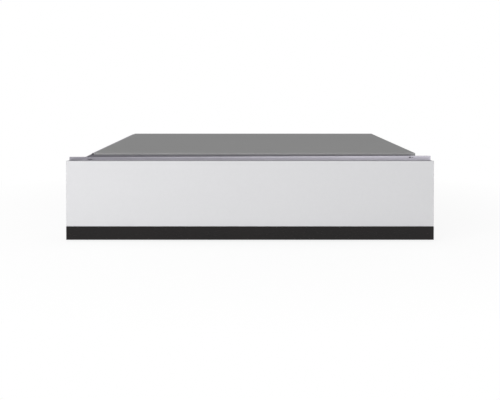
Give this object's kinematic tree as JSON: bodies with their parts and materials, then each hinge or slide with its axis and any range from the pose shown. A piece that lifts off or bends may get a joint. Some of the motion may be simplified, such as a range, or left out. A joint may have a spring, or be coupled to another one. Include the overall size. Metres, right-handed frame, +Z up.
{
  "type": "built-in warming drawer",
  "caption": "Handleless warming drawer for a kitchen niche: steel housing, full-extension tray with fan heater, white glass front over a dark strip.",
  "frame": {"origin": "middle of the underside: X centred on the front panel, Y centred on the depth from the strip's face to the cover's back edge, Z at the housing's base", "axes": "+X to the right seen from the front, +Y to the rear (the drawer opens towards -Y), +Z up"},
  "size_m": [0.595, 0.547, 0.137],
  "materials": {
    "coated_glass": "glossy, coated behind",
    "dark_strip": "dark anodised, satin gloss",
    "panel_steel": "satin",
    "zinc_steel": "zinc-coated",
    "cover_steel": "fine brushed",
    "tray_steel": "brushed stainless",
    "runner_steel": "bright zinc",
    "ball_steel": "bright",
    "screw_steel": "bright",
    "shaft_steel": "turned",
    "earth_brass": "bright",
    "seal_rubber": "matt",
    "silicone": "matt",
    "base_glass": "toughened, tinted",
    "board": "mineral fibre board",
    "motor_steel": "satin",
    "fan_metal": "pressed",
    "heater_metal": "oxidised",
    "bush_ceramic": "unglazed",
    "cutout_plastic": "moulded",
    "loom_sleeve": "woven sleeve",
    "box_plastic": "moulded",
    "latch_plastic": "moulded",
    "fascia_gloss": "gloss",
    "knob_plastic": "fine grain",
    "lamp_red": "clear coloured"
  },
  "bodies": {
    "housing": {"base_panel": "zinc_steel", "side_wall_left": "zinc_steel", "side_wall_right": "zinc_steel", "rear_panel": "zinc_steel", "top_cover": "cover_steel", "frame_top_rail": "zinc_steel", "frame_bottom_rail": "zinc_steel", "frame_wing_left": "zinc_steel", "frame_wing_right": "zinc_steel", "frame_gasket": "seal_rubber", "case_rivets": "screw_steel", "rear_screws": "screw_steel", "terminal_box": "box_plastic", "cable_bush": "box_plastic", "earth_screw": "earth_brass", "latch_body": "latch_plastic", "latch_spring": "shaft_steel", "bump_stops": "seal_rubber", "runner_outer_left": "runner_steel", "runner_outer_right": "runner_steel"},
    "drawer": {"front_glass": "coated_glass", "front_strip": "dark_strip", "front_carrier": "panel_steel", "front_backplate": "panel_steel", "tray_side_left": "tray_steel", "tray_side_right": "tray_steel", "drawer_screws": "screw_steel", "underpan": "tray_steel", "floor_insulation": "board", "tray_floor": "tray_steel", "control_partition": "tray_steel", "tray_rear_wall": "tray_steel", "duct_cover": "tray_steel", "air_grille": "tray_steel", "glass_base": "base_glass", "glass_pads": "silicone", "anti_slip_mat": "silicone", "fan_bulkhead": "tray_steel", "fan_motor": "motor_steel", "heater_ring": "heater_metal", "heater_insulators": "bush_ceramic", "thermal_cutout": "cutout_plastic", "wiring_loom": "loom_sleeve", "control_fascia": "fascia_gloss", "thermostat_body": "cutout_plastic", "switch_body": "knob_plastic", "pilot_lens": "lamp_red", "latch_striker": "tray_steel", "runner_inner_left": "runner_steel", "runner_inner_right": "runner_steel"},
    "middle_left": {"runner_middle_left": "runner_steel"},
    "middle_right": {"runner_middle_right": "runner_steel"},
    "outer_cages": {"outer_ball_cages": "ball_steel"},
    "inner_cages": {"inner_ball_cages": "ball_steel"},
    "knob": {"temperature_knob": "knob_plastic", "thermostat_shaft": "shaft_steel"},
    "rocker": {"switch_rocker": "knob_plastic"},
    "fan": {"fan_impeller": "fan_metal", "fan_shaft": "shaft_steel"},
    "plunger": {"latch_plunger": "latch_plastic"}
  },
  "joints": [
    {"name": "drawer_slide", "type": "slide", "parent": "housing", "child": "drawer", "axis": [0, -1, 0], "range_m": [-0.003, 0.43]},
    {"name": "middle_left_slide", "type": "slide", "parent": "housing", "child": "middle_left", "axis": [0, -1, 0], "range_m": [-0.0015, 0.215]},
    {"name": "middle_right_slide", "type": "slide", "parent": "housing", "child": "middle_right", "axis": [0, -1, 0], "range_m": [-0.0015, 0.215]},
    {"name": "outer_cages_slide", "type": "slide", "parent": "housing", "child": "outer_cages", "axis": [0, -1, 0], "range_m": [-0.00075, 0.1075]},
    {"name": "inner_cages_slide", "type": "slide", "parent": "housing", "child": "inner_cages", "axis": [0, -1, 0], "range_m": [-0.00225, 0.3225]},
    {"name": "temperature_knob_turn", "type": "hinge", "parent": "drawer", "child": "knob", "pos_m": [0.13, -0.236, 0.106], "axis": [0, 0, -1], "range_deg": [0, 270]},
    {"name": "power_rocker_tilt", "type": "hinge", "parent": "drawer", "child": "rocker", "pos_m": [0.215, -0.236, 0.103], "axis": [-1, 0, 0], "range_deg": [0, 16]},
    {"name": "fan_spin", "type": "hinge", "parent": "drawer", "child": "fan", "pos_m": [0, 0.189, 0.06], "axis": [0, 1, 0], "continuous": true},
    {"name": "latch_plunger_press", "type": "slide", "parent": "housing", "child": "plunger", "axis": [0, 1, 0], "range_m": [0, 0.006], "stiffness_N_per_m": 250, "deforming": ["latch_spring"]}
  ],
  "couplings": [
    {"joint": "middle_left_slide", "follows": "drawer_slide", "ratio": 0.5},
    {"joint": "middle_right_slide", "follows": "drawer_slide", "ratio": 0.5},
    {"joint": "outer_cages_slide", "follows": "drawer_slide", "ratio": 0.25},
    {"joint": "inner_cages_slide", "follows": "drawer_slide", "ratio": 0.75}
  ]
}
